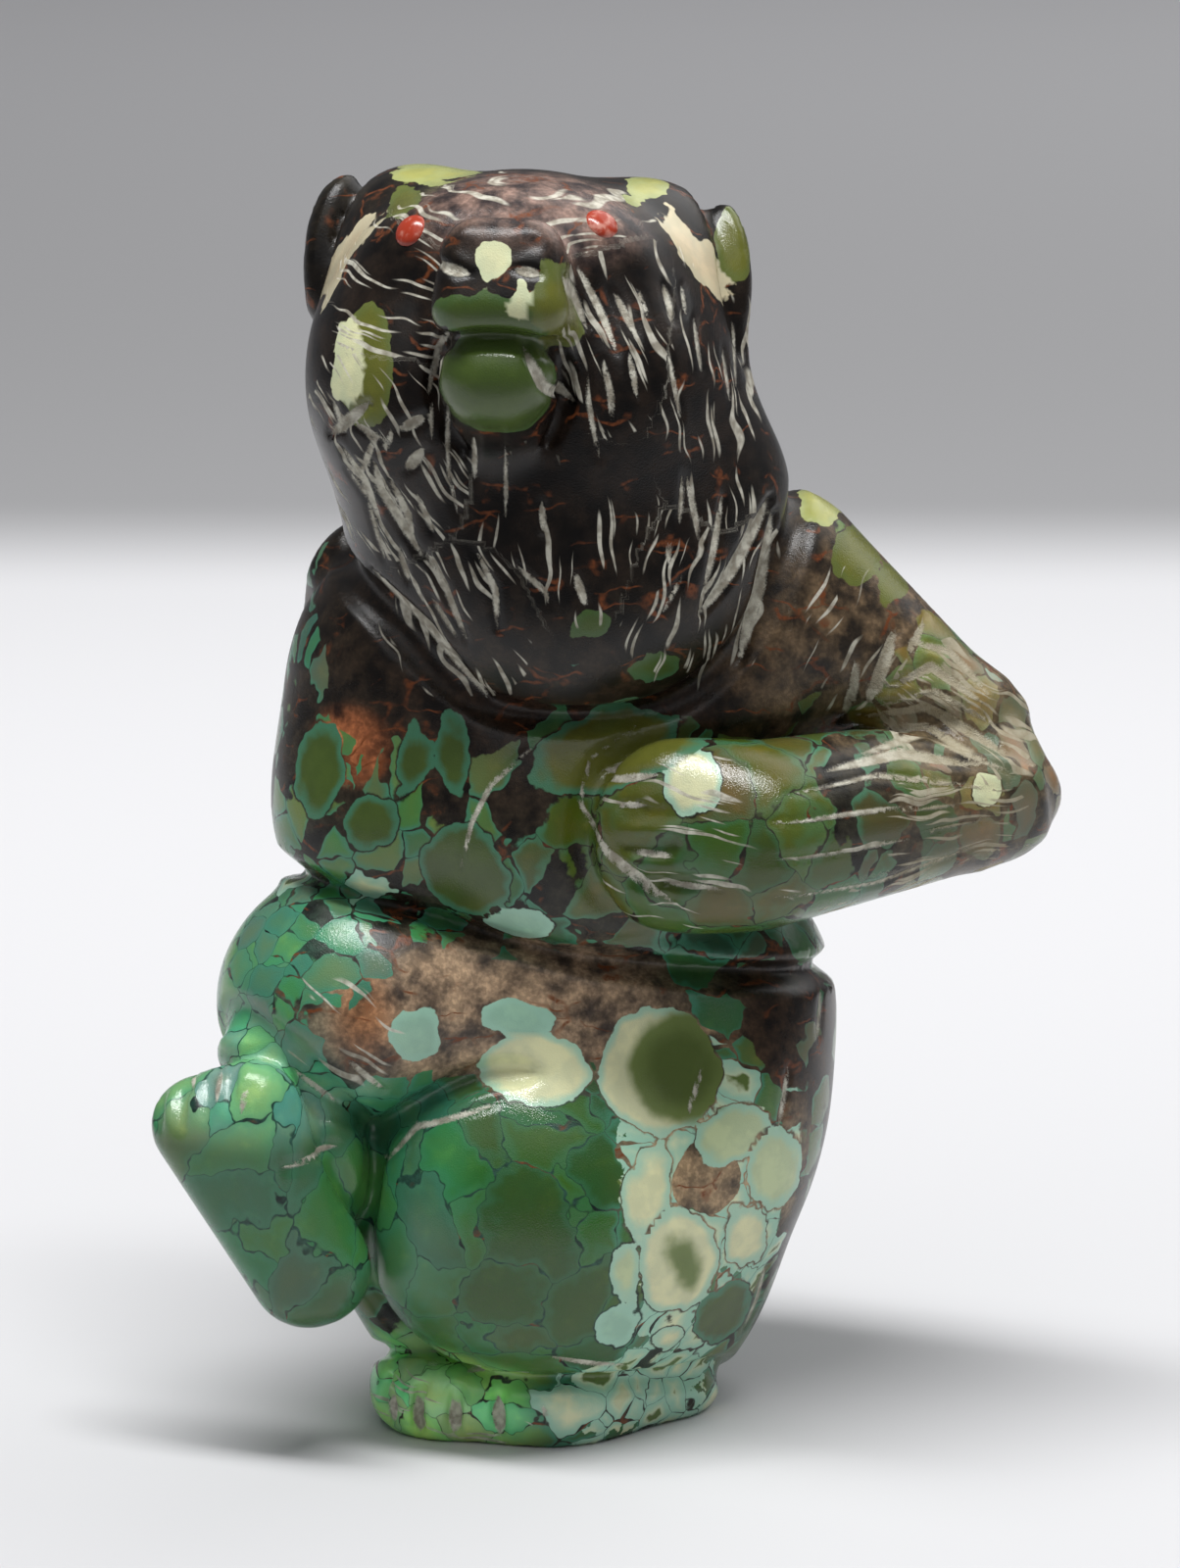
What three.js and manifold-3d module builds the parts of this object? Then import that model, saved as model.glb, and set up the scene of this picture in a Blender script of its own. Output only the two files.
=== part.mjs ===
// A carved stone bear, dancing on its left foot with the right foot raised.
// The body is one solid of turquoise in its host rock, and two coral eyes are let into drilled seats.
// Millimetres, +Z up, the bear faces -Y, and the origin is on the flat that it stands on.

import * as THREE from 'three';
import { mergeVertices } from 'three/addons/utils/BufferGeometryUtils.js';
import Module from 'manifold-3d';

// Driving dimensions, in millimetres
const HEIGHT = 65; // from the ground to the ear tips
const EYE_DIAMETER = 1.8;
const EYE_DOME = 0.45; // how far an eye stands out of its seat
const EYE_SHANK = 1.3; // how deep an eye goes into the stone
const EYE_CLEARANCE = 0.15; // glue gap around the shank and under it

// Fineness of the faceted stone
const CELL = 0.6; // grid cell of the first mesh, in shares
const TRIANGLES = 9400;

// The carving is laid out in shares, of which the whole height takes TALL
const TALL = 98.2;
const share = HEIGHT / TALL;

// A form is a function of a point in shares: its distance to the form's surface

const clamp = THREE.MathUtils.clamp;
const ease = (t) => THREE.MathUtils.smoothstep(t, 0, 1);

function smoothMin(a, b, blend) {
  const near = Math.max(blend - Math.abs(a - b), 0) / blend;
  return Math.min(a, b) - near * near * blend * 0.25;
}

// The form moved to a place after turns about x, then y, then z, in degrees
function placed(at, turn, form) {
  const [ax, ay, az] = turn.map(THREE.MathUtils.degToRad);
  const matrix = new THREE.Matrix4().makeRotationFromEuler(new THREE.Euler(ax, ay, az, 'ZYX'));
  const e = matrix.elements;
  return (x, y, z) => {
    const dx = x - at[0];
    const dy = y - at[1];
    const dz = z - at[2];
    return form(
      e[0] * dx + e[1] * dy + e[2] * dz,
      e[4] * dx + e[5] * dy + e[6] * dz,
      e[8] * dx + e[9] * dy + e[10] * dz,
    );
  };
}

// Both halves of a form, from the half on its +x side
const mirrored = (form) => (x, y, z) => form(Math.abs(x), y, z);

// An ellipsoid
function blob(at, radii, turn = [0, 0, 0]) {
  const [rx, ry, rz] = radii;
  return placed(at, turn, (x, y, z) => {
    const k0 = Math.hypot(x / rx, y / ry, z / rz);
    const k1 = Math.hypot(x / (rx * rx), y / (ry * ry), z / (rz * rz));
    return (k0 * (k0 - 1)) / Math.max(k1, 1e-6);
  });
}

// A round limb from a to b, with a radius at each end
function limb(a, b, ra, rb) {
  const [bx, by, bz] = [b[0] - a[0], b[1] - a[1], b[2] - a[2]];
  const length2 = bx * bx + by * by + bz * bz;
  return (x, y, z) => {
    const px = x - a[0];
    const py = y - a[1];
    const pz = z - a[2];
    const h = clamp((px * bx + py * by + pz * bz) / length2, 0, 1);
    return Math.hypot(px - h * bx, py - h * by, pz - h * bz) - (ra + (rb - ra) * h);
  };
}

// A rounded slab whose width grows along its own z by the taper
function pad(at, half, turn, round, taper = 0) {
  return placed(at, turn, (x, y, z) => {
    const width = half[0] * (1 + taper * clamp(z / half[2], -1, 1));
    const dx = Math.abs(x) - width + round;
    const dy = Math.abs(y) - half[1] + round;
    const dz = Math.abs(z) - half[2] + round;
    const outside = Math.hypot(Math.max(dx, 0), Math.max(dy, 0), Math.max(dz, 0));
    return outside + Math.min(Math.max(dx, dy, dz), 0) - round;
  });
}

// A flat tablet with rounded edges: a stadium in plan from a to b, between two heights
function tablet(a, b, ra, rb, low, high, round) {
  const [bx, by] = [b[0] - a[0], b[1] - a[1]];
  return (x, y, z) => {
    const h = clamp(((x - a[0]) * bx + (y - a[1]) * by) / (bx * bx + by * by), 0, 1);
    const side = Math.hypot(x - a[0] - h * bx, y - a[1] - h * by) - (ra + (rb - ra) * h) + round;
    const face = Math.abs(z - (low + high) / 2) - (high - low) / 2 + round;
    return Math.hypot(Math.max(side, 0), Math.max(face, 0)) + Math.min(Math.max(side, face), 0) - round;
  };
}

// Forms that flow into each other
const melt = (blend, ...forms) => (x, y, z) => {
  let d = forms[0](x, y, z);
  for (let i = 1; i < forms.length; i++) d = smoothMin(d, forms[i](x, y, z), blend);
  return d;
};

// Two forms with a carved line where they meet
const seam = (blend, depth, width, first, second) => (x, y, z) => {
  const a = first(x, y, z);
  const b = second(x, y, z);
  return smoothMin(a, b, blend) + depth * ease(1 - Math.hypot(a, b) / width);
};

// A form with others cut out of it
const cut = (blend, form, ...tools) => (x, y, z) => {
  let d = -form(x, y, z);
  for (const tool of tools) d = smoothMin(d, tool(x, y, z), blend);
  return -d;
};

// A form with a line carved where the level is zero
const groove = (depth, width, form, level) => (x, y, z) =>
  form(x, y, z) + depth * ease(1 - Math.abs(level(x, y, z)) / width);

// Lower body: the rump, the raised thigh and the knee of the standing leg

function lowerBody() {
  let rump = melt(8, blob([-3, 4, 33], [22, 16.5, 15]), blob([0, 3, 13], [15, 13, 16]));
  rump = melt(
    3,
    rump,
    limb([-17.5, -6, 20], [-12, -2, 10], 6, 6.5),
    blob([7.5, 0, 22.5], [11, 13, 19], [0, 16, 0]),
  );
  rump = melt(4, rump, blob([-18, -4, 34.5], [11, 12, 9.8], [0, -25, 20]));
  const knee = blob([-4.5, -8.2, 18], [13.8, 10, 13.2], [0, 28, 0]);
  // The line round the knee is deep on the inner side and runs out over the thigh
  return (x, y, z) => {
    const a = rump(x, y, z);
    const b = knee(x, y, z);
    const inner = ease((1 - x) / 8);
    const line = 0.8 * inner * ease(1 - Math.hypot(a, b) / 1.7);
    return smoothMin(a, b, 5.5 - 4 * inner) + line;
  };
}

// Torso with the right arm, which hangs bent behind the flank

function upperBody() {
  const torso = melt(
    4,
    blob([-1, 4, 51], [19.5, 15.5, 19]),
    blob([-12.5, 2, 58], [11, 12, 14], [0, 15, 0]),
    blob([-15.5, -1, 48], [9, 10, 10], [0, -8, 0]),
    blob([10, 3, 62], [11, 10.5, 13], [0, -30, 0]),
    blob([-2, -8, 48], [9.5, 6.5, 9.5], [0, 20, 0]),
  );
  const rightArm = melt(
    3,
    limb([-16, 7, 64], [-19, 13, 50], 6.2, 5.2),
    limb([-19, 13, 50], [-19.6, 1, 46], 5.2, 4.4),
  );
  return seam(2, 0.8, 1.8, torso, rightArm);
}

// Height of the carved waist line above the point under it
const waistLevel = (x, y, z) => z - (37 - 0.195 * x + 0.105 * Math.hypot(x, 5) - 0.12 * y);

// Feet: claw notches part the toes

function standingFoot() {
  const sole = melt(
    2,
    tablet([-10.4, -5.2], [-3, -5.2], 6.8, 7.3, -0.6, 6.2, 3.2),
    tablet([-3, -5.2], [4.2, -0.8], 7.3, 6.4, -0.6, 5.4, 2.6),
  );
  const claws = [
    [-16.2, -8.8],
    [-13.4, -11],
    [-10.6, -12],
    [-7.2, -12.5],
  ].map(([x, y]) => limb([x, y, 1.2], [0.97 * x, 0.97 * y, 4.2], 0.5, 0.6));
  return cut(0.5, sole, ...claws);
}

function raisedFoot() {
  const claws = [-4.6, -2.2, 0.2, 2.6].map((x) => limb([x, -0.8, 11.2], [x, -4.2, 8.6], 0.7, 0.6));
  const foot = cut(0.5, pad([-0.5, 0.3, 0], [5.6, 4.2, 11], [0, 0, 0], 4.1, 0.22), ...claws);
  return placed([-24, -13.8, 20.9], [12, -24, -28], foot);
}

// Left arm: the elbow stands out to the side and the paw lies on the chest

function forearm() {
  const whole = melt(
    3,
    limb([31, -1, 50], [13, -12, 49], 5.8, 7.2),
    blob([7, -13.5, 49.3], [7.5, 5, 7.5]),
    limb([31, -1, 50], [35.2, -0.5, 49.3], 5, 1.6),
  );
  const fingers = [
    [2.5, 52],
    [1.8, 49.4],
    [3, 46.6],
    [5.5, 43.8],
  ].map(([x, z]) => limb([x, -17.9, z], [x + 4.5, -18.8, z + 0.3], 0.9, 0.8));
  return cut(0.5, whole, ...fingers);
}

const upperArm = () =>
  melt(
    3,
    limb([15, 2, 66], [29.6, 1, 52.5], 7, 5.7),
    limb([29.6, 1, 52.5], [34.6, -0.5, 50], 5.6, 2.2),
  );

// Head, in its own frame: it is thrown back and turned a little to the bear's right

const HEAD_AT = [-5.2, -0.5, 86];
const HEAD_TURN = [-22, 0, -5.5];

function head() {
  const cheeks = mirrored(blob([7.3, -2, -5.5], [8.4, 10.5, 10]));
  const crown = [blob([-8.6, 3.6, 6.4], [6.6, 7.8, 7.2]), blob([9.2, 4.2, 5.6], [6.6, 8.2, 7.2])];
  const brow = blob([0, -6, 3.6], [11.5, 8, 5.8]);
  const skull = melt(4, melt(3, blob([0, 2, -0.5], [15.6, 14, 13.2]), ...crown, brow), cheeks);
  const nostrils = mirrored(limb([1.8, -21.8, 1.2], [3.2, -21.2, 1.8], 0.8, 0.5));
  const muzzle = cut(0.6, pad([0.5, -13.5, -0.8], [4.9, 7.6, 4.6], [-4, 0, 0], 2.6, -0.1), nostrils);
  const jaw = pad([0.1, -12, -7.2], [4.5, 7.4, 4.3], [-8, 0, 0], 4);
  let face = seam(0.8, 0.9, 1.5, melt(2.5, skull, muzzle), jaw);
  for (const [side, lift, reach] of [
    [-1, 3.6, 9.4],
    [1, 0.8, 10.6],
  ]) {
    const hollow = blob([-0.8 * side, -3.2, 1.2], [3.4, 2.8, reach - 2.8]);
    const ear = cut(0.8, blob([0, 0, 0], [4.4, 3.4, reach]), hollow);
    const hung = placed([side * 13, 4.2, lift], [0, side * 10, side * -28], ear);
    face = seam(0.6, 0.9, 1.5, face, hung);
  }
  const ruff = melt(
    4,
    blob([-1.5, -0.5, 71.5], [17.3, 14.5, 16]),
    blob([-0.5, -5, 66], [11.5, 10.5, 9], [0, -10, 0]),
  );
  return melt(4, placed(HEAD_AT, HEAD_TURN, face), ruff);
}

// The whole carving, cut flat where it stands

function carving() {
  let bear = groove(1.4, 1.6, melt(2, upperBody(), lowerBody()), waistLevel);
  bear = seam(1.2, 0.6, 1.6, bear, blob([0, 17.5, 22], [3.4, 3, 4], [25, 0, 0]));
  bear = seam(0.8, 0.6, 1.4, bear, standingFoot());
  bear = seam(1, 0.7, 1.4, bear, blob([-22.5, -8.5, 30.5], [6.3, 6, 5], [0, 20, 0]));
  bear = seam(1, 0.7, 1.4, bear, blob([-21.3, -10.5, 24], [4.6, 4.6, 7.8], [0, -18, 0]));
  bear = seam(0.8, 0.5, 1.2, bear, raisedFoot());
  bear = seam(1, 1, 2, melt(3, bear, upperArm()), forearm());
  bear = seam(0.8, 1, 2, bear, head());
  return (x, y, z) => Math.max(bear(x, y, z), -z);
}

// Surface nets: one vertex for each grid cell that the surface crosses

function meshOf(form, low, high, cell) {
  const count = low.map((l, i) => Math.ceil((high[i] - l) / cell) + 1);
  const [nx, ny, nz] = count;
  const at = (i, j, k) => (k * ny + j) * nx + i;
  const field = new Float32Array(nx * ny * nz);
  for (let k = 0; k < nz; k++)
    for (let j = 0; j < ny; j++)
      for (let i = 0; i < nx; i++)
        field[at(i, j, k)] = form(low[0] + i * cell, low[1] + j * cell, low[2] + k * cell);

  // A face of the grid with its signs crossed would pinch the surface, so one corner is filled
  const steps = [at(1, 0, 0), at(0, 1, 0), at(0, 0, 1)];
  for (let filled = true; filled; ) {
    filled = false;
    for (let here = 0; here < field.length - steps[1] - steps[2]; here++)
      for (let axis = 0; axis < 3; axis++) {
        const u = steps[axis];
        const v = steps[(axis + 1) % 3];
        const inside = [field[here] < 0, field[here + u] < 0, field[here + u + v] < 0, field[here + v] < 0];
        if (inside[0] !== inside[2] || inside[1] !== inside[3] || inside[0] === inside[1]) continue;
        field[inside[0] ? here + u : here] = -0.02;
        filled = true;
      }
  }

  const corners = [0, 1, 2, 3, 4, 5, 6, 7].map((c) => [c & 1, (c >> 1) & 1, c >> 2]);
  const edges = corners.flatMap((_, a) => [1, 2, 4].filter((bit) => !(a & bit)).map((bit) => [a, a | bit]));
  const vertexOf = new Map();
  const points = [];
  for (let k = 0; k < nz - 1; k++)
    for (let j = 0; j < ny - 1; j++)
      for (let i = 0; i < nx - 1; i++) {
        const d = corners.map(([a, b, c]) => field[at(i + a, j + b, k + c)]);
        const crossings = edges.filter(([a, b]) => d[a] < 0 !== d[b] < 0);
        if (!crossings.length) continue;
        const sum = [0, 0, 0];
        for (const [a, b] of crossings) {
          const t = d[a] / (d[a] - d[b]);
          for (let axis = 0; axis < 3; axis++)
            sum[axis] += corners[a][axis] + t * (corners[b][axis] - corners[a][axis]);
        }
        vertexOf.set(at(i, j, k), points.length);
        points.push([i, j, k].map((n, axis) => low[axis] + cell * (n + sum[axis] / crossings.length)));
      }

  const triangles = [];
  for (let k = 1; k < nz - 1; k++)
    for (let j = 1; j < ny - 1; j++)
      for (let i = 1; i < nx - 1; i++)
        for (let axis = 0; axis < 3; axis++) {
          const here = at(i, j, k);
          const inside = field[here] < 0;
          if (inside === field[here + steps[axis]] < 0) continue;
          const u = steps[(axis + 1) % 3];
          const v = steps[(axis + 2) % 3];
          const ring = [here - u - v, here - v, here, here - u].map((cellAt) => vertexOf.get(cellAt));
          if (!inside) ring.reverse();
          triangles.push([ring[0], ring[1], ring[2]], [ring[0], ring[2], ring[3]]);
        }
  return { points, triangles };
}

// Quadric simplification: the edge that moves the surface least is closed up first

function simplified({ points, triangles }, wanted) {
  const where = points.map((p) => new THREE.Vector3(...p));
  const facesOf = points.map(() => new Set());
  const faces = triangles.map((t) => [...t]);
  faces.forEach((face, f) => face.forEach((v) => facesOf[v].add(f)));
  const edge1 = new THREE.Vector3();
  const edge2 = new THREE.Vector3();
  const crossOf = (a, b, c) => edge1.subVectors(b, a).cross(edge2.subVectors(c, a)).clone();

  // The ten sums of a vertex's squared distances to the planes of its faces
  const quadrics = where.map(() => new Float64Array(10));
  for (const face of faces) {
    const n = crossOf(...face.map((v) => where[v]));
    const area = n.length() / 2;
    n.normalize();
    const plane = [n.x, n.y, n.z, -n.dot(where[face[0]])];
    let term = 0;
    for (let i = 0; i < 4; i++)
      for (let j = i; j < 4; j++, term++)
        for (const v of face) quadrics[v][term] += area * plane[i] * plane[j];
  }
  const errorAt = (q, p) =>
    q[0] * p.x * p.x + 2 * q[1] * p.x * p.y + 2 * q[2] * p.x * p.z + 2 * q[3] * p.x +
    q[4] * p.y * p.y + 2 * q[5] * p.y * p.z + 2 * q[6] * p.y +
    q[7] * p.z * p.z + 2 * q[8] * p.z + q[9];

  const heap = [];
  const stamp = new Uint32Array(points.length);
  const swap = (a, b) => ([heap[a], heap[b]] = [heap[b], heap[a]]);
  function push(item) {
    let i = heap.push(item) - 1;
    for (let up; i && heap[(up = (i - 1) >> 1)].cost > heap[i].cost; i = up) swap(i, up);
  }
  function pop() {
    swap(0, heap.length - 1);
    const top = heap.pop();
    for (let i = 0, least = 1; least < heap.length; least = 2 * i + 1) {
      if (least + 1 < heap.length && heap[least + 1].cost < heap[least].cost) least++;
      if (heap[i].cost <= heap[least].cost) break;
      swap(i, least);
      i = least;
    }
    return top;
  }
  function offer(a, b) {
    const q = quadrics[a].map((x, i) => x + quadrics[b][i]);
    const inverse = new THREE.Matrix3().set(q[0], q[1], q[2], q[1], q[4], q[5], q[2], q[5], q[7]);
    const middle = where[a].clone().lerp(where[b], 0.5);
    const reach = where[a].distanceTo(where[b]);
    const choices = [where[a], where[b], middle];
    if (Math.abs(inverse.determinant()) > 1e-4) {
      const best = new THREE.Vector3(-q[3], -q[6], -q[8]).applyMatrix3(inverse.invert());
      if (best.distanceTo(middle) < reach) choices.push(best);
    }
    const costs = choices.map((p) => errorAt(q, p) + 1e-5 * reach);
    const cost = Math.min(...costs);
    const to = choices[costs.indexOf(cost)].clone();
    push({ a, b, q, to, cost, stampA: stamp[a], stampB: stamp[b] });
  }
  const neighbours = (v) => new Set([...facesOf[v]].flatMap((f) => faces[f]).filter((n) => n !== v));
  const turnsOver = (v, other, to) =>
    [...facesOf[v]].some((f) => {
      if (faces[f].includes(other)) return false;
      const before = crossOf(...faces[f].map((n) => where[n]));
      const after = crossOf(...faces[f].map((n) => (n === v ? to : where[n])));
      return before.dot(after) < 0.3 * before.length() * after.length();
    });

  faces.forEach((face) =>
    face.forEach((v, i) => {
      if (v < face[(i + 1) % 3]) offer(v, face[(i + 1) % 3]);
    }),
  );
  let left = faces.length;
  while (left > wanted && heap.length) {
    const { a, b, q, to, stampA, stampB } = pop();
    if (stamp[a] !== stampA || stamp[b] !== stampB || !facesOf[a].size || !facesOf[b].size) continue;
    const around = neighbours(a);
    if ([...neighbours(b)].filter((v) => around.has(v)).length !== 2) continue;
    if (turnsOver(a, b, to) || turnsOver(b, a, to)) continue;
    where[a].copy(to);
    quadrics[a] = q;
    for (const f of facesOf[b]) {
      if (faces[f].includes(a)) {
        for (const v of faces[f]) if (v !== b) facesOf[v].delete(f);
        faces[f] = null;
        left--;
      } else {
        faces[f] = faces[f].map((v) => (v === b ? a : v));
        facesOf[a].add(f);
      }
    }
    facesOf[b].clear();
    stamp[a]++;
    for (const v of neighbours(a)) offer(a, v);
  }
  return { points: where.map((p) => p.toArray()), triangles: faces.filter(Boolean) };
}

// Solids and geometry

const wasm = await Module();
wasm.setup();

function geometryOf({ points, triangles }, scale) {
  const geometry = new THREE.BufferGeometry();
  geometry.setAttribute('position', new THREE.Float32BufferAttribute(points.flat(), 3));
  geometry.setIndex(triangles.flat());
  return geometry.scale(scale, scale, scale);
}

function solidOf(geometry) {
  const bare = geometry.clone();
  bare.deleteAttribute('normal');
  bare.deleteAttribute('uv');
  const merged = mergeVertices(bare, 1e-4);
  const vertProperties = new Float32Array(merged.attributes.position.array);
  const triVerts = new Uint32Array(merged.index.array);
  return new wasm.Manifold(new wasm.Mesh({ numProp: 3, vertProperties, triVerts }));
}

function facetedGeometry(solid) {
  const { vertProperties, triVerts } = solid.getMesh();
  const geometry = new THREE.BufferGeometry();
  geometry.setAttribute('position', new THREE.BufferAttribute(vertProperties, 3));
  geometry.setIndex(new THREE.BufferAttribute(triVerts, 1));
  const faceted = geometry.toNonIndexed();
  faceted.computeVertexNormals();
  return faceted;
}

// An eye is a round shank with a low dome; its axis is the lathe's own y, from the shank to the dome
function eyeGeometry(radius, depth, dome) {
  const profile = [new THREE.Vector2(0, -depth), new THREE.Vector2(radius, -depth)];
  const rings = 5;
  for (let i = 0; i < rings; i++) {
    const angle = (i / rings) * (Math.PI / 2);
    profile.push(new THREE.Vector2(radius * Math.cos(angle), dome * Math.sin(angle)));
  }
  profile.push(new THREE.Vector2(0, dome));
  return new THREE.LatheGeometry(profile, 20);
}

// Where an eye's axis meets the face, found by walking in from the front until the stone is met
function eyePlace(form, x, z) {
  const turn = HEAD_TURN.map(THREE.MathUtils.degToRad);
  const head3d = new THREE.Matrix4()
    .makeRotationFromEuler(new THREE.Euler(...turn, 'ZYX'))
    .setPosition(...HEAD_AT);
  const start = new THREE.Vector3(x, -30, z).applyMatrix4(head3d);
  const end = new THREE.Vector3(x, 0, z).applyMatrix4(head3d);
  const inward = end.sub(start).normalize();
  const point = start.clone();
  for (let step = 0; step < 80; step++) point.addScaledVector(inward, 0.7 * form(...point));
  const e = 0.5;
  const outward = new THREE.Vector3(
    form(point.x + e, point.y, point.z) - form(point.x - e, point.y, point.z),
    form(point.x, point.y + e, point.z) - form(point.x, point.y - e, point.z),
    form(point.x, point.y, point.z + e) - form(point.x, point.y, point.z - e),
  ).normalize();
  return { point: point.multiplyScalar(share), outward };
}

// Assembly

const stoneLook = new THREE.MeshStandardMaterial({ color: 0x4c7a45, roughness: 0.25, metalness: 0 });
const coralLook = new THREE.MeshStandardMaterial({ color: 0xa83c2c, roughness: 0.3, metalness: 0 });

const group = new THREE.Group();
const form = carving();
const LOW = [-38.4, -26.4, -2.4];
const HIGH = [40, 26, 104];
let stone = solidOf(geometryOf(simplified(meshOf(form, LOW, HIGH, CELL), TRIANGLES), share));

const radius = EYE_DIAMETER / 2;
for (const [name, x, z] of [
  ['right_eye', -7.3, 4.8],
  ['left_eye', 7.2, 5.6],
]) {
  const { point, outward } = eyePlace(form, x, z);
  const eye = new THREE.Mesh(eyeGeometry(radius, EYE_SHANK, EYE_DOME), coralLook);
  eye.name = name;
  eye.position.copy(point);
  eye.quaternion.setFromUnitVectors(new THREE.Vector3(0, 1, 0), outward);
  eye.updateMatrixWorld();
  group.add(eye);
  const seat = eyeGeometry(radius + EYE_CLEARANCE, EYE_SHANK + EYE_CLEARANCE, 2 * EYE_DIAMETER);
  stone = stone.subtract(solidOf(seat.applyMatrix4(eye.matrixWorld)));
}

const bear = new THREE.Mesh(facetedGeometry(stone), stoneLook);
bear.name = 'bear';
group.add(bear);

const box = new THREE.Box3().setFromObject(bear);
const middle = box.getCenter(new THREE.Vector3()).setZ(box.min.z);
for (const piece of group.children) piece.position.sub(middle);

export default group;
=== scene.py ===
import math

import bpy
import numpy as np
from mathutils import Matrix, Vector


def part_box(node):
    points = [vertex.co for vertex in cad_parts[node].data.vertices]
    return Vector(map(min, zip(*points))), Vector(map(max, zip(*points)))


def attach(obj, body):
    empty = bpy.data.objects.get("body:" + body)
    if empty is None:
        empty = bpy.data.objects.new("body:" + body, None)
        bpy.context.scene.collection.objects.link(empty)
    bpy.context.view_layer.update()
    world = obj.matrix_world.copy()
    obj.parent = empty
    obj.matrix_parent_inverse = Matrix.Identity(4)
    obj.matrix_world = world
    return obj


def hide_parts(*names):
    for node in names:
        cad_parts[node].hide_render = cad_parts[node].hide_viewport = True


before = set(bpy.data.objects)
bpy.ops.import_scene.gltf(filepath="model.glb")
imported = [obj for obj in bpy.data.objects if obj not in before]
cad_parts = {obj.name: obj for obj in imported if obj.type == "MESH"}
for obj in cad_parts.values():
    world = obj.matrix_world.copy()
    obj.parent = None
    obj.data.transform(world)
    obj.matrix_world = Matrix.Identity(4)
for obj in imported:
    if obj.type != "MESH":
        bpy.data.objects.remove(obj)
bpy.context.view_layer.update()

# The stone bear
# One piece of turquoise in its host rock, carved all round and polished.
# The forms below are laid out in shares, of which the bear's height takes 98.2.


def ease(t):
    t = np.clip(t, 0, 1)
    return t * t * (3 - 2 * t)


def smooth_min(a, b, blend):
    near = np.maximum(blend - np.abs(a - b), 0) / blend
    return np.minimum(a, b) - near * near * blend * 0.25


# Every form gives, for points in shares, how far each is from the form's surface
def placed(at, turn, form):
    """The form moved to a place, turned about x, then y, then z."""
    (cx, cy, cz), (sx, sy, sz) = np.cos(np.radians(turn)), np.sin(np.radians(turn))
    about_x = np.array([[1, 0, 0], [0, cx, -sx], [0, sx, cx]])
    about_y = np.array([[cy, 0, sy], [0, 1, 0], [-sy, 0, cy]])
    about_z = np.array([[cz, -sz, 0], [sz, cz, 0], [0, 0, 1]])
    turned = (about_z @ about_y @ about_x).astype(np.float32)
    at = np.array(at, np.float32)
    return lambda p: form((p - at) @ turned)


def mirrored(form):
    return lambda p: form(np.stack([np.abs(p[:, 0]), p[:, 1], p[:, 2]], 1))


def blob(at, radii, turn=(0, 0, 0)):
    r = np.array(radii, np.float32)

    def form(q):
        k0 = np.sqrt(((q / r) ** 2).sum(1))
        k1 = np.sqrt(((q / (r * r)) ** 2).sum(1))
        return k0 * (k0 - 1) / np.maximum(k1, 1e-6)

    return placed(at, turn, form)


def limb(a, b, ra, rb):
    a = np.array(a, np.float32)
    along = np.array(b, np.float32) - a

    def form(p):
        h = np.clip((p - a) @ along / (along @ along), 0, 1)
        return np.sqrt(((p - a - h[:, None] * along) ** 2).sum(1)) - (ra + (rb - ra) * h)

    return form


def pad(at, half, turn, rounding, taper=0.0):
    def form(q):
        width = half[0] * (1 + taper * np.clip(q[:, 2] / half[2], -1, 1))
        d = np.stack([np.abs(q[:, 0]) - width, np.abs(q[:, 1]) - half[1], np.abs(q[:, 2]) - half[2]], 1)
        d += rounding
        return np.sqrt((np.maximum(d, 0) ** 2).sum(1)) + np.minimum(d.max(1), 0) - rounding

    return placed(at, turn, form)


def tablet(a, b, ra, rb, low, high, rounding):
    a = np.array(a, np.float32)
    along = np.array(b, np.float32) - a

    def form(p):
        q = p[:, :2] - a
        h = np.clip(q @ along / (along @ along), 0, 1)
        side = np.sqrt(((q - h[:, None] * along) ** 2).sum(1)) - (ra + (rb - ra) * h) + rounding
        face = np.abs(p[:, 2] - (low + high) / 2) - (high - low) / 2 + rounding
        outside = np.hypot(np.maximum(side, 0), np.maximum(face, 0))
        return outside + np.minimum(np.maximum(side, face), 0) - rounding

    return form


def melt(blend, first, *others):
    def form(p):
        d = first(p)
        for other in others:
            d = smooth_min(d, other(p), blend)
        return d

    return form


def seam(blend, depth, width, first, second):
    def form(p):
        a, b = first(p), second(p)
        return smooth_min(a, b, blend) + depth * ease(1 - np.hypot(a, b) / width)

    return form


def cut(blend, first, *tools):
    def form(p):
        d = -first(p)
        for tool in tools:
            d = smooth_min(d, tool(p), blend)
        return -d

    return form


# Rump, raised thigh and the knee of the standing leg
rump = melt(8, blob([-3, 4, 33], [22, 16.5, 15]), blob([0, 3, 13], [15, 13, 16]))
rump = melt(3, rump, limb([-17.5, -6, 20], [-12, -2, 10], 6, 6.5))
rump = melt(3, rump, blob([7.5, 0, 22.5], [11, 13, 19], [0, 16, 0]))
rump = melt(4, rump, blob([-18, -4, 34.5], [11, 12, 9.8], [0, -25, 20]))
knee = blob([-4.5, -8.2, 18], [13.8, 10, 13.2], [0, 28, 0])


def lower_body(p):
    a, b = rump(p), knee(p)
    inner = ease((1 - p[:, 0]) / 8)
    line = 0.8 * inner * ease(1 - np.hypot(a, b) / 1.7)
    return smooth_min(a, b, 5.5 - 4 * inner) + line


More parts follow.
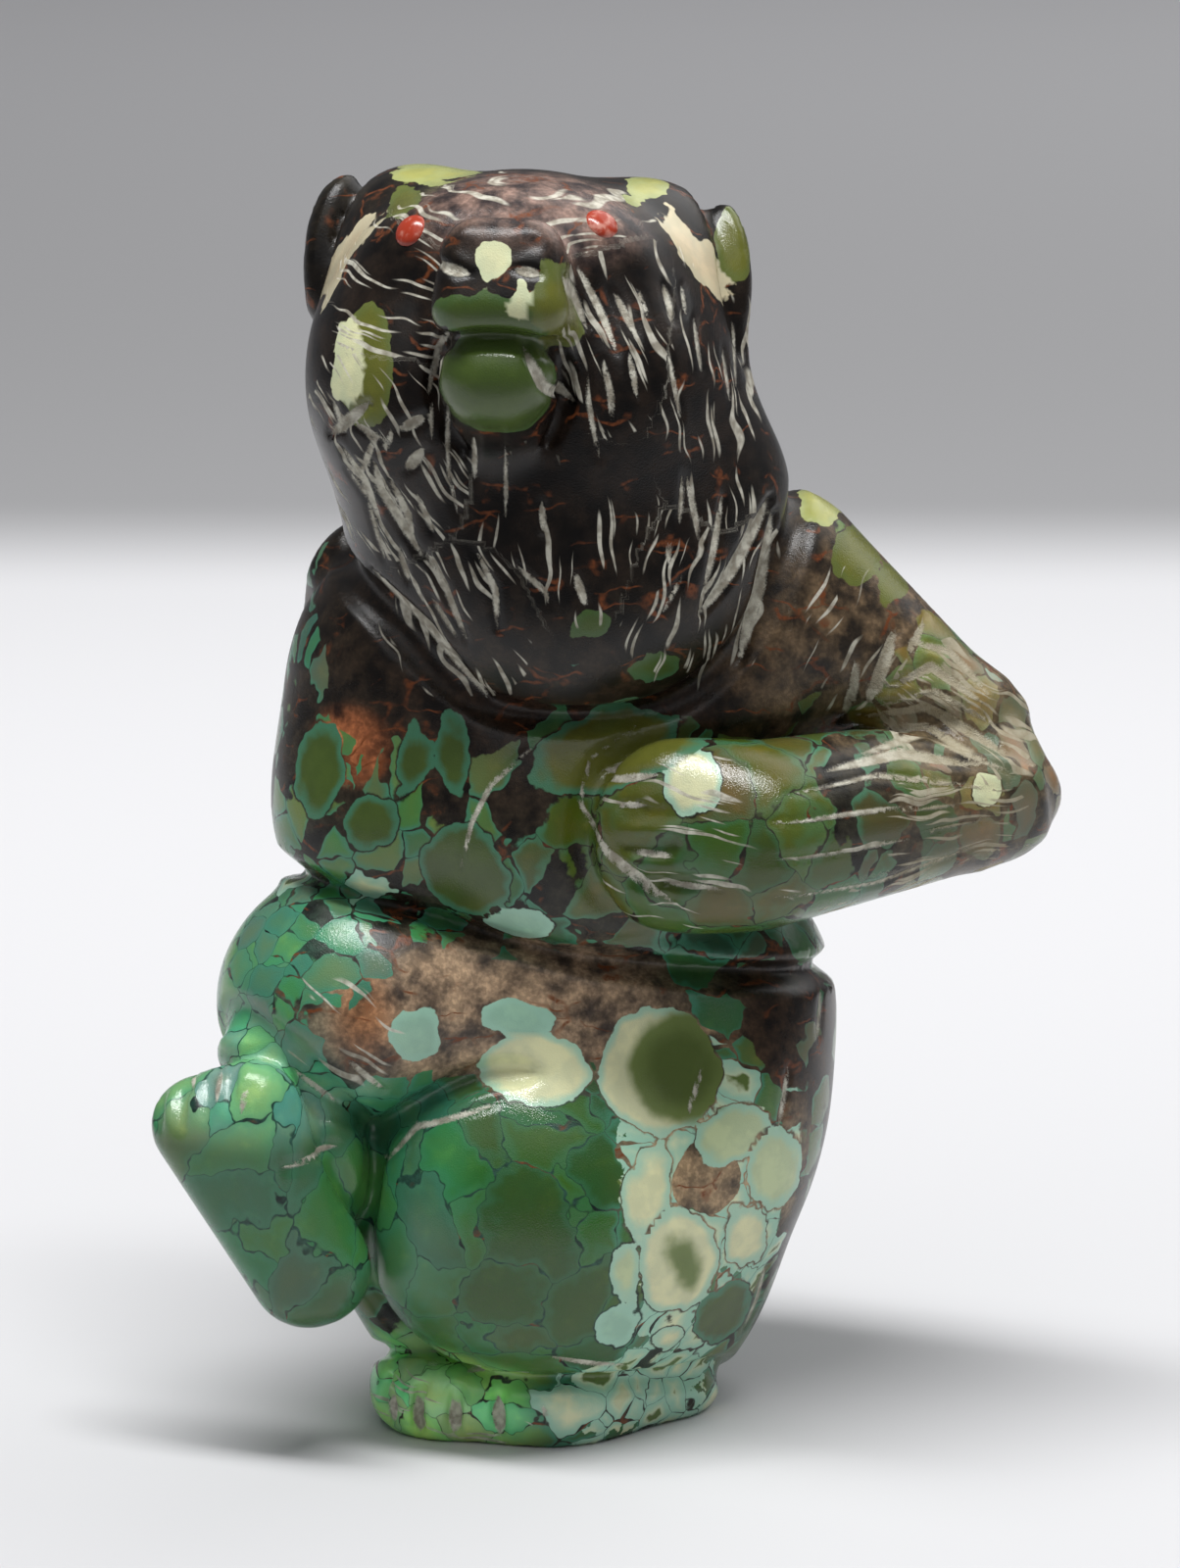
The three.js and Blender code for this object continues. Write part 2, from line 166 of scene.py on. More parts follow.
# Torso, with the right arm bent behind the flank
torso = melt(
    4,
    blob([-1, 4, 51], [19.5, 15.5, 19]),
    blob([-12.5, 2, 58], [11, 12, 14], [0, 15, 0]),
    blob([-15.5, -1, 48], [9, 10, 10], [0, -8, 0]),
    blob([10, 3, 62], [11, 10.5, 13], [0, -30, 0]),
    blob([-2, -8, 48], [9.5, 6.5, 9.5], [0, 20, 0]),
)
right_arm = limb([-16, 7, 64], [-19, 13, 50], 6.2, 5.2)
right_arm = melt(3, right_arm, limb([-19, 13, 50], [-19.6, 1, 46], 5.2, 4.4))
torso = seam(2, 0.8, 1.8, torso, right_arm)
trunk = melt(2, torso, lower_body)


def waisted(p):
    x, y, z = p.T
    level = z - (37 - 0.195 * x + 0.105 * np.sqrt(x * x + 25) - 0.12 * y)
    return trunk(p) + 1.4 * ease(1 - np.abs(level) / 1.6)


body = seam(1.2, 0.6, 1.6, waisted, blob([0, 17.5, 22], [3.4, 3, 4], [25, 0, 0]))

# Standing foot, then the raised foot with its sole to the front; notches part the claws
foot = melt(
    2,
    tablet([-10.4, -5.2], [-3, -5.2], 6.8, 7.3, -0.6, 6.2, 3.2),
    tablet([-3, -5.2], [4.2, -0.8], 7.3, 6.4, -0.6, 5.4, 2.6),
)
for x, y in [(-16.2, -8.8), (-13.4, -11), (-10.6, -12), (-7.2, -12.5)]:
    foot = cut(0.5, foot, limb([x, y, 1.2], [0.97 * x, 0.97 * y, 4.2], 0.5, 0.6))
body = seam(0.8, 0.6, 1.4, body, foot)
body = seam(1, 0.7, 1.4, body, blob([-22.5, -8.5, 30.5], [6.3, 6, 5], [0, 20, 0]))
body = seam(1, 0.7, 1.4, body, blob([-21.3, -10.5, 24], [4.6, 4.6, 7.8], [0, -18, 0]))
sole = pad([-0.5, 0.3, 0], [5.6, 4.2, 11], [0, 0, 0], 4.1, 0.22)
for x in [-4.6, -2.2, 0.2, 2.6]:
    sole = cut(0.5, sole, limb([x, -0.8, 11.2], [x, -4.2, 8.6], 0.7, 0.6))
body = seam(0.8, 0.5, 1.2, body, placed([-24, -13.8, 20.9], [12, -24, -28], sole))

# Left arm: the elbow stands out to the side and the paw lies on the chest
arm = limb([15, 2, 66], [29.6, 1, 52.5], 7, 5.7)
arm = melt(3, arm, limb([29.6, 1, 52.5], [34.6, -0.5, 50], 5.6, 2.2))
forearm = melt(
    3,
    limb([31, -1, 50], [13, -12, 49], 5.8, 7.2),
    blob([7, -13.5, 49.3], [7.5, 5, 7.5]),
    limb([31, -1, 50], [35.2, -0.5, 49.3], 5, 1.6),
)
for x, z in [(2.5, 52), (1.8, 49.4), (3, 46.6), (5.5, 43.8)]:
    forearm = cut(0.5, forearm, limb([x, -17.9, z], [x + 4.5, -18.8, z + 0.3], 0.9, 0.8))
body = seam(1, 1, 2, melt(3, body, arm), forearm)

# Head, thrown back and turned a little to the bear's right
skull = melt(
    3,
    blob([0, 2, -0.5], [15.6, 14, 13.2]),
    blob([-8.6, 3.6, 6.4], [6.6, 7.8, 7.2]),
    blob([9.2, 4.2, 5.6], [6.6, 8.2, 7.2]),
    blob([0, -6, 3.6], [11.5, 8, 5.8]),
)
skull = melt(4, skull, mirrored(blob([7.3, -2, -5.5], [8.4, 10.5, 10])))
nostrils = mirrored(limb([1.8, -21.8, 1.2], [3.2, -21.2, 1.8], 0.8, 0.5))
muzzle = cut(0.6, pad([0.5, -13.5, -0.8], [4.9, 7.6, 4.6], [-4, 0, 0], 2.6, -0.1), nostrils)
jaw = pad([0.1, -12, -7.2], [4.5, 7.4, 4.3], [-8, 0, 0], 4)
face = seam(0.8, 0.9, 1.5, melt(2.5, skull, muzzle), jaw)
for side, lift, reach in [(-1, 3.6, 9.4), (1, 0.8, 10.6)]:
    hollow = blob([side * -0.8, -3.2, 1.2], [3.4, 2.8, reach - 2.8])
    ear = cut(0.8, blob([0, 0, 0], [4.4, 3.4, reach]), hollow)
    face = seam(0.6, 0.9, 1.5, face, placed([side * 13, 4.2, lift], [0, side * 10, side * -28], ear))
ruff = blob([-1.5, -0.5, 71.5], [17.3, 14.5, 16])
ruff = melt(4, ruff, blob([-0.5, -5, 66], [11.5, 10.5, 9], [0, -10, 0]))
body = seam(0.8, 1, 2, body, melt(4, placed([-5.2, -0.5, 86], [-22, 0, -5.5], face), ruff))


def bear_form(p):
    return np.maximum(body(p), -p[:, 2])


# A lattice round the bear, finest where the carving is: at the front and up the head
def steps(*runs):
    stops = [np.arange(start, stop, step) for start, stop, step in runs]
    return np.concatenate(stops).astype(np.float32)


across_step, outer_step = 0.39, 0.55
front_step, back_step = 0.45, 1.05
body_step, head_step = 0.54, 0.385
xs = steps((-36.5, -22, outer_step), (-22, 18, across_step), (18, 39, outer_step))
ys = steps((-24, 0, front_step), (0, 22.5, back_step))
zs = steps((-1.2, 60, body_step), (60, 101, head_step))
field = np.empty((len(xs), len(ys), len(zs)), np.float32)
for k, z in enumerate(zs):
    sheet = np.stack(np.meshgrid(xs, ys, [z], indexing="ij"), -1).reshape(-1, 3)
    field[:, :, k] = bear_form(sheet).reshape(len(xs), len(ys))

# Where a face of the lattice has its signs crossed, one corner is filled to keep the skin whole
just_inside = -0.02
crossed = True
while crossed:
    crossed = False
    for axis in range(3):
        f = np.moveaxis(field, axis, 2)
        for corner in (0, 1):
            a, c = f[:-1, :-1] < 0, f[1:, 1:] < 0
            b, d = f[1:, :-1] < 0, f[:-1, 1:] < 0
            odd = (a == c) & (b == d) & (a != b) & (a if corner else ~a)
            target = f[1:, :-1] if corner else f[:-1, :-1]
            target[odd] = just_inside
            crossed = crossed or bool(odd.any())

# The skin has one point in each cell that the surface crosses
corners = [(i, j, k) for i in (0, 1) for j in (0, 1) for k in (0, 1)]
shape = [n - 1 for n in field.shape]
windows = [field[i : shape[0] + i, j : shape[1] + j, k : shape[2] + k] for i, j, k in corners]
within = sum((w < 0).astype(np.int8) for w in windows)
cells = np.argwhere((within > 0) & (within < 8))
number = np.full(shape, -1, np.int64)
number[tuple(cells.T)] = np.arange(len(cells))
values = np.stack([w[tuple(cells.T)] for w in windows], 1)
total, crossings = np.zeros((len(cells), 3)), np.zeros((len(cells), 1))
for a, start in enumerate(corners):
    for b, end in enumerate(corners):
        if b <= a or sum(abs(s - e) for s, e in zip(start, end)) != 1:
            continue
        da, db = values[:, a], values[:, b]
        hit = (da < 0) != (db < 0)
        t = (da / np.where(hit, da - db, 1))[:, None]
        pa = np.stack([grid[cells[:, i] + start[i]] for i, grid in enumerate((xs, ys, zs))], 1)
        pb = np.stack([grid[cells[:, i] + end[i]] for i, grid in enumerate((xs, ys, zs))], 1)
        total += np.where(hit[:, None], pa + t * (pb - pa), 0)
        crossings += hit[:, None]
points = (total / crossings).astype(np.float32)

# Four cells round an edge of the lattice that is crossed make one face, turned outwards
quads = []
for axis in range(3):
    u, v = (axis + 1) % 3, (axis + 2) % 3
    start = [slice(1, n) for n in shape]
    ahead = list(start)
    ahead[axis] = slice(2, shape[axis] + 1)
    here, there = field[tuple(start)] < 0, field[tuple(ahead)] < 0
    for outward in (True, False):
        at = np.argwhere(here & ~there if outward else ~here & there) + 1
        ring = []
        for du, dv in [(1, 1), (0, 1), (0, 0), (1, 0)]:
            cell = at.copy()
            cell[:, u] -= du
            cell[:, v] -= dv
            ring.append(number[tuple(cell.T)])
        quads.append(np.stack(ring if outward else ring[::-1], 1))
quads = np.concatenate(quads)


def slope_at(p):
    nearby = np.float32(0.06)
    ahead = [bear_form(p + nearby * axis) for axis in np.eye(3, dtype=np.float32)]
    behind = [bear_form(p - nearby * axis) for axis in np.eye(3, dtype=np.float32)]
    return (np.stack(ahead, 1) - np.stack(behind, 1)) / (2 * 0.06)


# The points are drawn onto the form, and those under the standing foot lie flat
furthest, sole_height = 0.3, 0.05
for _ in range(2):
    slope = slope_at(points)
    steep = np.maximum((slope**2).sum(1), 0.3)
    move = slope * (bear_form(points) / steep)[:, None]
    points -= np.clip(move, -furthest, furthest).astype(np.float32)
points[:, 2] = np.where(points[:, 2] < sole_height, 0, points[:, 2])
outward = slope_at(points)
outward /= np.maximum(np.linalg.norm(outward, axis=1, keepdims=True), 1e-6)

# Shares turn into metres so that the skin fills the size that the CAD bear takes
lowest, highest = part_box("bear")
share = (highest.z - lowest.z) / float(points[:, 2].max())
shift = (points.min(0) + points.max(0)) / 2 * [1, 1, 0]
shift[:2] -= np.array([(lowest.x + highest.x) / 2, (lowest.y + highest.y) / 2]) / share


def metres(p):
    return (np.array(p) - shift) * share


# The carver's strokes
# Fur, fingers and claws are scored into the polished stone, and the cuts stay pale with stone dust.
# Each stroke is its width in shares and the way it runs, as seen from the front.
facing = outward[:, 1] < 0.35
unmarked = 1.5
scored = np.full(len(points), unmarked)
sunk = np.zeros(len(points))

# The photograph looks down at 13 degrees from 500 shares away, at the middle of the bear's height
look_down, far_off, mid_bear = math.radians(13), 500, np.array([0.15, 0, 50.2])
photo_wide, photo_tall = 1204, 1600
lens, sensor = 147.4, 36


def carried(seen):
    """Where on the bear's front, in x and z, the photograph shows these pixels."""
    back = np.array([0, -math.cos(look_down), math.sin(look_down)])
    up = np.array([0, math.sin(look_down), math.cos(look_down)])
    off = seen - np.array([photo_wide / 2, photo_tall / 2])
    sight = off[:, :1] * [1, 0, 0] - off[:, 1:] * up - lens / sensor * photo_tall * back
    sight = (sight / np.linalg.norm(sight, axis=1, keepdims=True)).astype(np.float32)
    stand = (mid_bear + far_off * back).astype(np.float32)
    in_front, steps_taken, stride = 60, 120, 0.7
    gone = np.full((len(seen), 1), far_off - in_front, np.float32)
    for _ in range(steps_taken):
        gone += stride * bear_form(stand + sight * gone)[:, None]
    return np.round((stand + sight * gone).astype(float), 1)[:, [0, 2]]


def depth_at(x, z):
    """How far back the stone's face lies behind a spot seen from the front."""
    reach = (points[:, 0] - x) ** 2 + (points[:, 2] - z) ** 2 + 0.04 * (points[:, 1] + 24)
    return points[np.argmin(np.where(facing, reach, 1e9)), 1]


def score(width, way, depth=0.26):
    way = [(x, depth_at(x, z), z) for x, z in way]
    runs = [math.hypot(b[0] - a[0], b[2] - a[2]) for a, b in zip(way, way[1:])]
    margin = np.array([3, 4, 3])
    gone = 0
    for (x0, y0, z0), (x1, y1, z1), run in zip(way, way[1:], runs):
        low, high = np.sort([(x0, y0, z0), (x1, y1, z1)], 0)
        near = np.flatnonzero(facing & (points > low - margin).all(1) & (points < high + margin).all(1))
        px, pz = points[near, 0] - x0, points[near, 2] - z0
        dx, dz = x1 - x0, z1 - z0
        t = np.clip((px * dx + pz * dz) / (dx * dx + dz * dz + 1e-6), 0, 1)
        along = (gone + t * run) / sum(runs)
        half = 0.31 * width * (1 - 0.8 * np.abs(2 * along - 1) ** 2.5)
        away = np.hypot(px - t * dx, pz - t * dz)
        scored[near] = np.minimum(scored[near], away - half)
        sunk[near] = np.maximum(sunk[near], depth * width * ease(1.1 - away / (half + 0.25)))
        gone += run


# Those that the photograph shows clearly, read in its 1204 x 1600 pixels: fur, then the paw,
# arm, belly and feet
seen_strokes = [
    (1.5, [(336, 444), (375, 411)]),
    (0.9, [(367, 486), (375, 463), (386, 440)]),
    (0.8, [(392, 463), (402, 436)]),
    (1.5, [(407, 440), (434, 425)]),
    (1.6, [(413, 482), (432, 459)]),
    (1.3, [(380, 471), (388, 502), (405, 528), (428, 567)]),
    (0.5, [(353, 478), (386, 525)]),
    (0.9, [(432, 563), (455, 602), (475, 655)]),
    (0.8, [(405, 559), (417, 594)]),
    (0.6, [(375, 513), (392, 571)]),
    (0.9, [(458, 339), (448, 355), (439, 402)]),
    (1.4, [(536, 353), (555, 394), (584, 411)]),
    (0.6, [(455, 414), (459, 486), (467, 525)]),
    (0.5, [(442, 409), (440, 448)]),
    (0.8, [(482, 448), (484, 490)]),
    (0.6, [(517, 455), (515, 528)]),
    (0.9, [(552, 513), (555, 544)]),
    (0.8, [(577, 282), (600, 336)]),
    (0.9, [(590, 271), (617, 325), (630, 361)]),
    (0.9, [(627, 298), (650, 344)]),
    (0.5, [(650, 294), (663, 325)]),
    (0.8, [(678, 290), (688, 327)]),
    (0.5, [(696, 290), (700, 321)]),
    (0.5, [(709, 325), (717, 380)]),
    (0.4, [(738, 355), (746, 409)]),
    (0.4, [(748, 313), (752, 394)]),
    (0.7, [(598, 378), (600, 409), (611, 467)]),
    (0.9, [(615, 365), (623, 402), (625, 432)]),
    (0.8, [(642, 359), (650, 405)]),
    (0.6, [(682, 355), (696, 428)]),
    (0.9, [(486, 563), (505, 602), (507, 644)]),
    (0.8, [(525, 577), (555, 602), (561, 617)]),
    (1.1, [(586, 584), (598, 621)]),
    (0.6, [(698, 482), (694, 536)]),
    (0.8, [(702, 486), (715, 555)]),
    (0.7, [(683, 548), (683, 578)]),
    (0.9, [(738, 505), (728, 563), (719, 605)]),
    (0.6, [(698, 586), (678, 625)]),
    (1.7, [(786, 509), (748, 582), (717, 628)]),
    (1.7, [(790, 525), (775, 602), (753, 675)]),
    (1.5, [(378, 582), (436, 640), (498, 713)]),
    (0.7, [(547, 758), (500, 800), (480, 840), (469, 889)]),
    (0.9, [(615, 788), (672, 788)]),
    (0.9, [(627, 822), (660, 822)]),
    (0.8, [(640, 867), (690, 874)]),
    (0.8, [(672, 898), (738, 908)]),
    (0.6, [(650, 738), (602, 775), (592, 820), (618, 872), (690, 932)]),
    (0.9, [(590, 820), (612, 860), (690, 925)]),
    (1.8, [(884, 720), (902, 680), (915, 640)]),
    (1.1, [(925, 670), (945, 630)]),
    (0.7, [(700, 1145), (718, 1085)]),
    (0.7, [(795, 1150), (805, 1090)]),
    (0.5, [(835, 1060), (838, 1010)]),
    (0.9, [(562, 1386), (640, 1394)]),
    (0.8, [(300, 1092), (343, 1124)]),
    (0.9, [(355, 1082), (393, 1114)]),
]
spots = iter(carried(np.array([spot for _, way in seen_strokes for spot in way])))
for width, way in seen_strokes:
    score(width, [next(spots) for _ in way])

# The rest are given in shares
for width, way in [
    (1.0, [(-18.6, 78.6), (-16.9, 76.2), (-15.9, 73.0)]),
    (0.9, [(-17.6, 80.9), (-15.4, 79.6)]),
    (1.0, [(-14.9, 76.4), (-13.6, 73.6), (-13.3, 71.4)]),
    (0.8, [(-12.9, 75.4), (-11.7, 72.4)]),
    (0.8, [(-19.3, 82.3), (-18.2, 79.9)]),
    (0.7, [(-11.9, 67.4), (-9.9, 64.3)]),
    (0.8, [(-32.6, 29.4), (-32.1, 31.2)]),
    (0.8, [(-30.4, 29.5), (-30.2, 31.3)]),
    (0.9, [(-28.5, 29.2), (-28.0, 31.2)]),
    (0.9, [(-26.4, 28.8), (-25.9, 30.8)]),
    (1.3, [(-15.3, 3.6), (-15.4, 1.0)]),
    (1.4, [(-13.1, 3.8), (-13.2, 0.8)]),
    (1.4, [(-10.3, 3.9), (-10.4, 0.8)]),
    (1.4, [(-7.0, 4.0), (-6.9, 0.9)]),
    (0.8, [(-3.5, 3.7), (-3.2, 2.6)]),
    (0.7, [(-12.5, 6.0), (-8.0, 6.6)]),
    (0.7, [(-9.5, 5.6), (-4.5, 6.3)]),
    (0.9, [(24.6, 62.4), (28.0, 61.2), (31.0, 58.0)]),
    (1.2, [(22.6, 58.6), (26.4, 60.4), (30.6, 57.4)]),
    (0.8, [(22.0, 57.2), (26.6, 58.6), (31.8, 55.4)]),
    (1.3, [(21.2, 56.2), (26.0, 57.2), (32.4, 53.8)]),
    (0.8, [(20.6, 55.2), (26.0, 55.8), (33.0, 52.4)]),
    (1.1, [(18.0, 54.6), (24.0, 54.9), (30.0, 53.4)]),
    (0.6, [(15.0, 53.4), (22.0, 53.8), (32.0, 51.4)]),
    (0.7, [(13.0, 51.6), (22.0, 51.4), (30.0, 50.6)]),
    (0.6, [(12.0, 49.0), (20.0, 48.6), (32.0, 49.6)]),
    (0.6, [(14.0, 45.6), (22.0, 45.4), (31.0, 47.4)]),
    (1.3, [(19.6, 56.0), (20.4, 58.8), (20.8, 61.6)]),
    # This pale stroke along the knee's top edge is partly a dusty cut and partly a painted highlight where
    # the overhead light catches that edge.
    (0.7, [(-15.9, 23.1), (-13.2, 26.3), (-6.6, 28.6)]),
    (0.9, [(-23.2, 24.4), (-18.9, 25.2)]),
    (0.6, [(12.4, 6.6), (13.4, 9.5), (14.0, 12.8)]),
    (1.4, [(-11.4, 93.7), (-8.7, 93.3)]),
    (1.2, [(-5.4, 93.6), (-3.4, 93.3)]),
]:
    score(width, way)

# Finer fur between them: each patch has its middle, its radii, the slant of its fur in degrees and
# how thick it grows
fur = np.zeros((len(points), 3))
for k, (middle, radii, slant, thick) in enumerate([
    ((-14, -8, 90), (6, 10, 6), 12, 1.0),
    ((-5, -8, 96), (11, 9, 4), 5, 0.9),
    ((-15, -10, 78), (7, 11, 9), 58, 1.15),
    ((-9, -10, 66), (7, 10, 7), 60, 0.8),
    ((2, -12, 88), (6, 10, 8), 68, 0.7),
    ((10, -8, 82), (6, 12, 12), 84, 0.8),
    ((-3, -12, 73), (9, 10, 8), 84, 0.45),
    ((9, -10, 68), (7, 12, 8), 105, 0.7),
    ((23, -6, 49), (12, 10, 5), 4, 0.9),
    ((24, -6, 44), (11, 10, 4), -12, 0.9),
    ((29, -3, 56), (7, 10, 6), 38, 1.0),
    ((21, -2, 63), (6, 10, 6), 120, 0.5),
    ((8, -16, 48), (8, 8, 8), 10, 0.35),
    ((-13, -10, 3), (9, 8, 4), 12, 0.4),
    ((-18, -10, 34), (6, 8, 6), 35, 0.3),
]):
    s, c = math.sin(math.radians(slant)), math.cos(math.radians(slant))
    reach = np.sqrt((((points - middle) / radii) ** 2).sum(1))
    grows = thick * ease((1.15 - reach) / 0.4)
    across = s * points[:, 0] + c * points[:, 2] + 40 * k
    flow = [across, c * points[:, 0] - s * points[:, 2]]
    fur = np.where((grows > fur[:, 2])[:, None], np.stack([*flow, grows], 1), fur)

# The stone's figure
# Nodules of turquoise crowd together with thin veins between them, and thin out into host rock.
# Zones blend softly; a zone is its middle, its radii and what it holds.


def zone(at, radii, soft=0.35):
    k = np.sqrt((((points - at) / radii) ** 2).sum(1))
    return ease((1 + soft - k) / (2 * soft))


def painted(base, zones):
    out = np.tile(np.array(base, float), (len(points), 1))
    for at, radii, value in zones:
        w = zone(at, radii)[:, None]
        out = out * (1 - w) + np.array(value, float) * w
    return out


turquoise = painted((0.05, 0.115, 0.045), [
    ((-22, -4, 62), (8, 16, 14), (0.09, 0.19, 0.09)),
    ((-14, -8, 52), (11, 9, 10), (0.11, 0.20, 0.06)),
    ((-20, -6, 36), (12, 12, 8), (0.09, 0.25, 0.11)),
    ((-5, -16, 19), (13, 10, 13), (0.034, 0.105, 0.016)),
    ((-15, -14, 24), (6, 9, 12), (0.055, 0.19, 0.075)),
    ((-26, -12, 20), (9, 10, 13), (0.045, 0.145, 0.05)),
    ((-26, -14, 30), (9, 10, 4), (0.18, 0.40, 0.22)),
    # The standing foot is painted a much brighter green: painted light, making up for the light that the
    # knee and raised foot keep off it.
    ((-12, -8, 3), (9, 9, 5), (0.35, 0.72, 0.24)),
    ((10, -8, 18), (9, 12, 15), (0.11, 0.15, 0.035)),
    ((19, 2, 22), (7, 14, 16), (0.09, 0.13, 0.03)),
    ((8, -14, 50), (13, 9, 10), (0.08, 0.095, 0.012)),
    ((26, -4, 52), (12, 12, 10), (0.085, 0.08, 0.016)),
    ((31, -2, 55), (8, 12, 8), (0.20, 0.17, 0.07)),
    ((20, 2, 66), (9, 12, 9), (0.20, 0.17, 0.035)),
    ((-4, -4, 84), (22, 24, 16), (0.10, 0.11, 0.02)),
])
host = painted((0.022, 0.022, 0.015), [
    ((0, 2, 58), (24, 18, 16), (0.027, 0.016, 0.010)),
    ((-18, -8, 55.3), (2.8, 8, 2.6), (0.30, 0.11, 0.045)),
    ((-5, -15, 18), (14, 12, 14), (0.015, 0.05, 0.036)),
    ((-24, -8, 26), (12, 14, 16), (0.015, 0.06, 0.045)),
    ((-7, -13, 35), (14, 8, 5.5), (0.31, 0.235, 0.155)),
    ((-17, -10, 35), (3, 7, 4.5), (0.26, 0.12, 0.05)),
    ((10, -12, 24), (8, 8, 12), (0.26, 0.20, 0.12)),
    ((16, -6, 33), (6, 12, 7), (0.035, 0.022, 0.013)),
    ((22, 0, 62), (13, 12, 10), (0.12, 0.088, 0.052)),
    ((28, -3, 53), (9, 12, 9), (0.10, 0.08, 0.045)),
    ((-4, -4, 82), (24, 31, 21), (0.010, 0.007, 0.005)),
    # The brow's lighter pinkish-brown rock is partly the rock's own rust and partly painted light on its
    # upward-facing plane.
    ((-4, -10, 97), (9, 9, 4.5), (0.17, 0.12, 0.10)),
])
# How much of the stone is rock, and how much of it cream nodule
amount = painted((0.12, 0.04), [
    ((0, -2, 56), (22, 16, 13), (0.42, 0.02)),
    ((-13, -6, 63), (10, 12, 8), (1.2, 0)),
    ((-24, -4, 62), (4, 14, 13), (0.45, 0)),
    ((10, -4, 62), (11, 12, 7), (1.2, 0)),
    ((-6, -12, 43), (18, 10, 6), (0.28, 0.05)),
    ((-22, -6, 37), (11, 12, 6), (0.08, 0.03)),
    ((-6.5, -13, 34.5), (13, 8, 5), (1.2, 0)),
    ((14, -8, 33), (6, 10, 5), (1.1, 0)),
    ((-6, -15, 17), (13, 10, 13), (0.0, 0.0)),
    ((19, 2, 22), (7, 15, 16), (0.35, 0.03)),
    ((9, -12, 20), (7, 9, 15), (0.08, 0.78)),
    ((9, -13, 22), (2.5, 6, 2.5), (0.9, 0)),
    ((-26, -12, 20), (9, 10, 13), (0.0, 0.0)),
    ((-12, -8, 3), (11, 9, 5), (0.0, 0.0)),
    ((4, -8, 3), (8, 9, 5), (0.04, 0.95)),
    ((9, -14, 49), (13, 9, 9), (0.0, 0.0)),
    ((26, -4, 52), (12, 12, 9), (0.4, 0.02)),
    ((20, 2, 68), (10, 12, 8), (0.85, 0)),
    ((-4, -4, 82), (24, 31, 21), (1.4, 0)),
])

# Nodules that stand out: middle, radii across and up, tilt, colour
CREAM, PALE, AQUA, DUST = (0.66, 0.68, 0.42), (0.48, 0.58, 0.34), (0.30, 0.52, 0.39), (0.64, 0.54, 0.36)
OLIVE, MOSS, LIME = (0.12, 0.13, 0.022), (0.06, 0.10, 0.02), (0.36, 0.37, 0.11)
far, nodule_depth = 3.0, 5
nodule = np.full(len(points), far)
apart = np.full(len(points), 2 * far)
nodule_tone = np.zeros((len(points), 3))


def from_edge(middle, wide, tall, tilt):
    """How far outside a nodule's edge each point lies."""
    s, c = math.sin(math.radians(tilt)), math.cos(math.radians(tilt))
    across, back, up = (points - middle).T
    k = np.sqrt(((c * across - s * up) / wide) ** 2 + ((s * across + c * up) / tall) ** 2)
    return (np.hypot(k, back / nodule_depth) - 1) * min(wide, tall)


